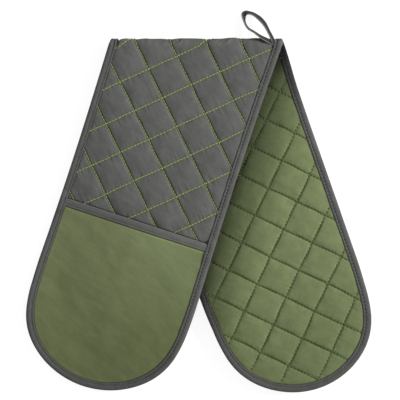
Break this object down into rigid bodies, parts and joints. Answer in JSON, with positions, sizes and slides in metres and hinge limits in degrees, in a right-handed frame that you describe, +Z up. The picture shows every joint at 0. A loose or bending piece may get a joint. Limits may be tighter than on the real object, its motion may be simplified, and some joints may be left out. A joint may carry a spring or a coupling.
{
  "type": "double oven glove",
  "caption": "Long quilted heat pad with a hand pocket at each round end, bound in tape all round, folded flat across its middle, with a hanging loop at the fold.",
  "frame": {"origin": "middle of the bounding box's underside, on the table that the folded glove lies on", "axes": "+Z up from the table, +Y from the round ends towards the fold, +X across, from the front arm towards the rear arm"},
  "size_m": [0.3934, 0.4376, 0.0333],
  "materials": {
    "grey_cotton": "matte woven cotton",
    "green_cotton": "matte woven cotton",
    "pocket_cotton": "matte woven cotton",
    "lining_cotton": "matte woven cotton",
    "white_wadding": "fluffy wadding",
    "grey_tape": "matte folded bias tape"
  },
  "bodies": {
    "rear_arm": {"rear_green_cover": "green_cotton", "rear_wadding": "white_wadding", "rear_grey_cover": "grey_cotton", "rear_pocket_lining": "lining_cotton", "rear_pocket_panel": "pocket_cotton", "rear_pocket_mouth_binding": "grey_tape", "rear_binding": "grey_tape"},
    "centre_fold": {"fold_green_cover": "green_cotton", "fold_wadding": "white_wadding", "fold_grey_cover": "grey_cotton", "fold_binding_left": "grey_tape", "fold_binding_right": "grey_tape", "loop_tail_left": "grey_tape", "loop_tail_right": "grey_tape"},
    "front_arm": {"front_green_cover": "green_cotton", "front_wadding": "white_wadding", "front_grey_cover": "grey_cotton", "front_pocket_lining": "lining_cotton", "front_pocket_panel": "pocket_cotton", "front_pocket_mouth_binding": "grey_tape", "front_binding": "grey_tape"},
    "loop": {"hanging_loop": "grey_tape"}
  },
  "joints": [
    {"name": "fold_rear", "type": "hinge", "parent": "rear_arm", "child": "centre_fold", "pos_m": [0, 0.17776, 0.00501], "axis": [-1, 0, 0], "range_deg": [0, 90], "deforming": ["fold_green_cover", "fold_wadding", "fold_grey_cover", "fold_binding_left", "fold_binding_right", "loop_tail_left", "loop_tail_right"]},
    {"name": "fold_front", "type": "hinge", "parent": "centre_fold", "child": "front_arm", "pos_m": [0, 0.17776, 0.01169], "axis": [-1, 0, 0], "range_deg": [0, 90]},
    {"name": "loop_swing", "type": "hinge", "parent": "centre_fold", "child": "loop", "pos_m": [0.07846, 0.18512, 0.014], "axis": [1, 0, 0], "range_deg": [0, 60]}
  ],
  "couplings": [
    {"joint": "fold_front", "follows": "fold_rear", "ratio": 1}
  ]
}
